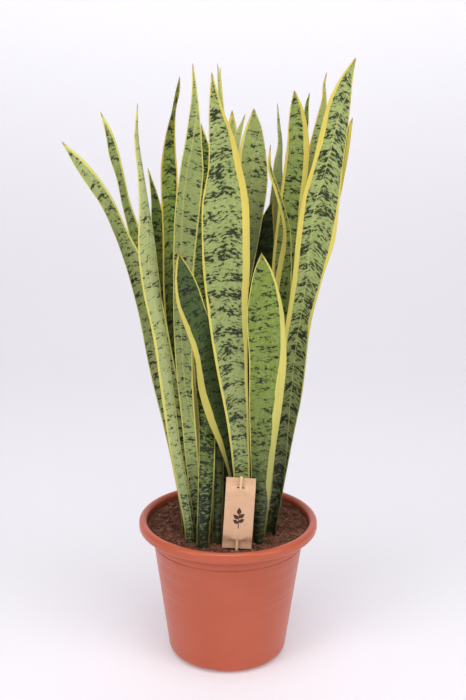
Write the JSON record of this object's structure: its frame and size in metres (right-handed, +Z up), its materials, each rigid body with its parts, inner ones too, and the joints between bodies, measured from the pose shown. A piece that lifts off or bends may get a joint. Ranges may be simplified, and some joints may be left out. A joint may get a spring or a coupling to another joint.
{
  "type": "potted snake plant",
  "caption": "Snake plant with tall banded upright leaves with yellow margins, growing in soil in a round terracotta-coloured plastic nursery pot, with a card label on a skewer.",
  "frame": {"origin": "on the pot's axis, on the surface that the pot stands on, in the middle of the pot's flat foot pad", "axes": "+Z up the pot's axis towards the leaf tips; -Y towards the label card; +X to the right as seen from the label side"},
  "size_m": [0.3076, 0.2175, 0.7022],
  "materials": {
    "pot_plastic": "satin moulded polypropylene",
    "soil": "rough, fibrous",
    "rhizome": "matte",
    "leaf": "waxy satin, banded green with yellow margins",
    "kraft_card": "matte uncoated",
    "skewer_wood": "raw"
  },
  "bodies": {
    "root": {"pot": "pot_plastic", "potting_soil": "soil", "rhizome_left": "rhizome", "rhizome_front": "rhizome", "rhizome_centre": "rhizome", "rhizome_right": "rhizome", "rhizome_back": "rhizome", "leaf_left_outer": "leaf", "leaf_left_back": "leaf", "leaf_left_front": "leaf", "leaf_left_hidden": "leaf", "leaf_left_tall": "leaf", "leaf_front_left": "leaf", "leaf_front_middle": "leaf", "leaf_front_right": "leaf", "leaf_centre_broad": "leaf", "leaf_centre_curled": "leaf", "leaf_centre_narrow": "leaf", "leaf_right_short": "leaf", "leaf_right_slender": "leaf", "leaf_right_tall": "leaf", "leaf_right_inner": "leaf", "leaf_right_outer": "leaf", "leaf_right_curly": "leaf", "leaf_back_middle": "leaf", "leaf_back_shaded": "leaf", "leaf_back_left": "leaf", "leaf_back_outer": "leaf", "leaf_back_grey": "leaf", "leaf_back_right": "leaf", "label_card": "kraft_card", "label_skewer": "skewer_wood"}
  },
  "joints": []
}
